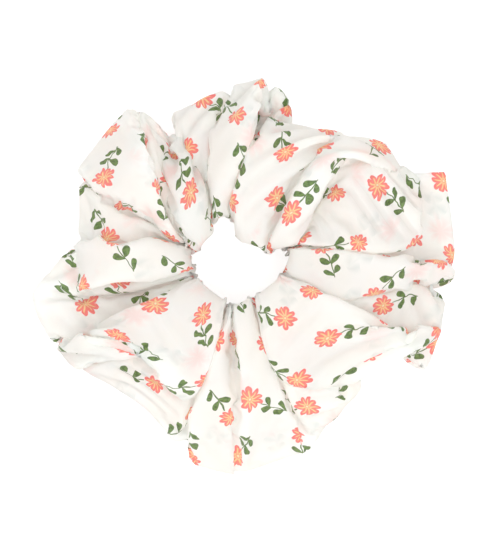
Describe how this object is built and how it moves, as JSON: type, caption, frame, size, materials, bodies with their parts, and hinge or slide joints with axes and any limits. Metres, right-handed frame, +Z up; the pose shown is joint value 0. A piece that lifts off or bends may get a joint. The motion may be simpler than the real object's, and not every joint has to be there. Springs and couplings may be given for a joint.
{
  "type": "scrunchie",
  "caption": "Large gathered hair scrunchie: a soft printed fabric tube closed into a ring around a flat elastic loop.",
  "frame": {"origin": "the middle of the scrunchie's outline, in the plane that it rests on when it lies flat; the axis of the elastic loop is 5.4 mm from it along +Y", "axes": "+Z up, along the axis of the hair opening; +X is the direction in which the ring is pulled open, and its longest side"},
  "size_m": [0.1586, 0.1501, 0.046],
  "materials": {
    "printed_fabric": "matte",
    "elastic_knit": "matte",
    "rubber_thread": "matte",
    "sewing_thread": "satin"
  },
  "bodies": {
    "left_half": {"cover_left": "printed_fabric", "seam_allowance_left": "printed_fabric", "long_seam_needle_thread_left": "sewing_thread", "long_seam_bobbin_thread_left": "sewing_thread", "closing_seam_needle_thread": "sewing_thread", "closing_seam_bobbin_thread": "sewing_thread", "elastic_knit_left": "elastic_knit", "elastic_rubber_left": "rubber_thread"},
    "right_half": {"cover_right": "printed_fabric", "seam_allowance_right": "printed_fabric", "long_seam_needle_thread_right": "sewing_thread", "long_seam_bobbin_thread_right": "sewing_thread", "elastic_knit_right": "elastic_knit", "elastic_rubber_right": "rubber_thread", "elastic_tack_needle_thread": "sewing_thread", "elastic_tack_bobbin_thread": "sewing_thread"}
  },
  "joints": [
    {"name": "stretch", "type": "slide", "parent": "left_half", "child": "right_half", "axis": [1, 0, 0], "range_m": [0, 0.08], "stiffness_N_per_m": 60}
  ]
}
